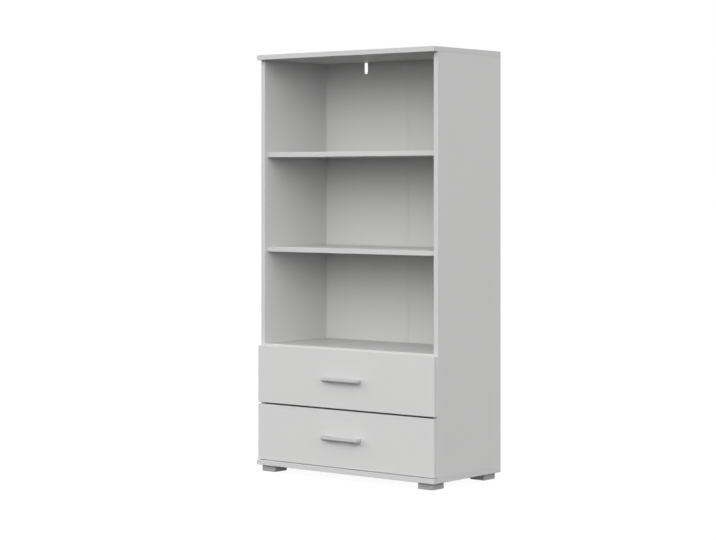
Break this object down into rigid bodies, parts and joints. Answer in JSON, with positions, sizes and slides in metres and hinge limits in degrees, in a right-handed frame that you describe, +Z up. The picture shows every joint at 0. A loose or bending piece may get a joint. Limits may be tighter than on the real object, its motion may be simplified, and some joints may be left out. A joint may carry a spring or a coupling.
{
  "type": "bookcase with bottom drawers",
  "caption": "Free-standing white bookcase: open bays with loose shelves above full-overlay bottom drawers on roller runners, bow handles and block feet.",
  "frame": {"origin": "on the floor, midway across the width and midway between the handles' tips and the rear edge", "axes": "+X to the right seen from the front, +Y to the back, +Z up"},
  "size_m": [0.8, 0.4154, 1.502],
  "materials": {
    "board": "white melamine foil on chipboard, fine satin texture",
    "drawer_board": "white melamine foil on chipboard, fine satin texture",
    "hardboard": "white lacquered hardboard, matt",
    "white_plastic": "extruded white plastic",
    "grey_plastic": "moulded silver-grey plastic",
    "handle_metal": "satin silver",
    "runner_steel": "white powder-coated sheet steel",
    "nylon": "natural nylon",
    "zinc": "zinc plated",
    "screw_steel": "zinc plated",
    "dowel_wood": "fluted beech"
  },
  "bodies": {
    "carcass": {"top_panel": "board", "bottom_panel": "board", "side_panel_left": "board", "side_panel_right": "board", "fixed_shelf": "board", "lower_shelf": "board", "upper_shelf": "board", "back_panel_left": "hardboard", "back_panel_right": "hardboard", "back_joint_strip": "white_plastic", "cam_locks": "zinc", "cam_bolts": "screw_steel", "cam_caps": "white_plastic", "wood_dowels": "dowel_wood", "shelf_pins": "zinc", "foot_screws": "screw_steel", "channel_screws": "screw_steel", "foot_front_left": "grey_plastic", "foot_front_right": "grey_plastic", "foot_rear_left": "grey_plastic", "foot_rear_right": "grey_plastic", "lower_channel_left": "runner_steel", "lower_channel_right": "runner_steel", "upper_channel_left": "runner_steel", "upper_channel_right": "runner_steel"},
    "lower_drawer": {"lower_front": "drawer_board", "lower_box_side_left": "drawer_board", "lower_box_side_right": "drawer_board", "lower_box_back": "drawer_board", "lower_box_bottom": "hardboard", "lower_handle": "handle_metal", "lower_handle_screws": "screw_steel", "lower_front_cams": "zinc", "lower_front_bolts": "screw_steel", "lower_back_screws": "screw_steel", "lower_rail_left": "runner_steel", "lower_rail_right": "runner_steel", "lower_rail_screws": "screw_steel"},
    "upper_drawer": {"upper_front": "drawer_board", "upper_box_side_left": "drawer_board", "upper_box_side_right": "drawer_board", "upper_box_back": "drawer_board", "upper_box_bottom": "hardboard", "upper_handle": "handle_metal", "upper_handle_screws": "screw_steel", "upper_front_cams": "zinc", "upper_front_bolts": "screw_steel", "upper_back_screws": "screw_steel", "upper_rail_left": "runner_steel", "upper_rail_right": "runner_steel", "upper_rail_screws": "screw_steel"},
    "lower_front_roller_left": {"lower_front_roller_left": "nylon"},
    "lower_rear_roller_left": {"lower_rear_roller_left": "nylon"},
    "lower_front_roller_right": {"lower_front_roller_right": "nylon"},
    "lower_rear_roller_right": {"lower_rear_roller_right": "nylon"},
    "upper_front_roller_left": {"upper_front_roller_left": "nylon"},
    "upper_rear_roller_left": {"upper_rear_roller_left": "nylon"},
    "upper_front_roller_right": {"upper_front_roller_right": "nylon"},
    "upper_rear_roller_right": {"upper_rear_roller_right": "nylon"}
  },
  "joints": [
    {"name": "lower_drawer_slide", "type": "slide", "parent": "carcass", "child": "lower_drawer", "axis": [0, -1, 0], "range_m": [0, 0.23]},
    {"name": "upper_drawer_slide", "type": "slide", "parent": "carcass", "child": "upper_drawer", "axis": [0, -1, 0], "range_m": [0, 0.23]},
    {"name": "lower_front_roller_left_turn", "type": "hinge", "parent": "carcass", "child": "lower_front_roller_left", "pos_m": [-0.37615, -0.1433, 0.0725], "axis": [1, 0, 0], "range_deg": [0, 1320]},
    {"name": "lower_rear_roller_left_turn", "type": "hinge", "parent": "lower_drawer", "child": "lower_rear_roller_left", "pos_m": [-0.37615, 0.1283, 0.0798], "axis": [1, 0, 0], "range_deg": [0, 1320]},
    {"name": "lower_front_roller_right_turn", "type": "hinge", "parent": "carcass", "child": "lower_front_roller_right", "pos_m": [0.37615, -0.1433, 0.0725], "axis": [1, 0, 0], "range_deg": [0, 1320]},
    {"name": "lower_rear_roller_right_turn", "type": "hinge", "parent": "lower_drawer", "child": "lower_rear_roller_right", "pos_m": [0.37615, 0.1283, 0.0798], "axis": [1, 0, 0], "range_deg": [0, 1320]},
    {"name": "upper_front_roller_left_turn", "type": "hinge", "parent": "carcass", "child": "upper_front_roller_left", "pos_m": [-0.37615, -0.1433, 0.2785], "axis": [1, 0, 0], "range_deg": [0, 1320]},
    {"name": "upper_rear_roller_left_turn", "type": "hinge", "parent": "upper_drawer", "child": "upper_rear_roller_left", "pos_m": [-0.37615, 0.1283, 0.2858], "axis": [1, 0, 0], "range_deg": [0, 1320]},
    {"name": "upper_front_roller_right_turn", "type": "hinge", "parent": "carcass", "child": "upper_front_roller_right", "pos_m": [0.37615, -0.1433, 0.2785], "axis": [1, 0, 0], "range_deg": [0, 1320]},
    {"name": "upper_rear_roller_right_turn", "type": "hinge", "parent": "upper_drawer", "child": "upper_rear_roller_right", "pos_m": [0.37615, 0.1283, 0.2858], "axis": [1, 0, 0], "range_deg": [0, 1320]}
  ],
  "couplings": [
    {"joint": "lower_front_roller_left_turn", "follows": "lower_drawer_slide", "rad_per_m": 100},
    {"joint": "lower_rear_roller_left_turn", "follows": "lower_drawer_slide", "rad_per_m": 100},
    {"joint": "lower_front_roller_right_turn", "follows": "lower_drawer_slide", "rad_per_m": 100},
    {"joint": "lower_rear_roller_right_turn", "follows": "lower_drawer_slide", "rad_per_m": 100},
    {"joint": "upper_front_roller_left_turn", "follows": "upper_drawer_slide", "rad_per_m": 100},
    {"joint": "upper_rear_roller_left_turn", "follows": "upper_drawer_slide", "rad_per_m": 100},
    {"joint": "upper_front_roller_right_turn", "follows": "upper_drawer_slide", "rad_per_m": 100},
    {"joint": "upper_rear_roller_right_turn", "follows": "upper_drawer_slide", "rad_per_m": 100}
  ]
}
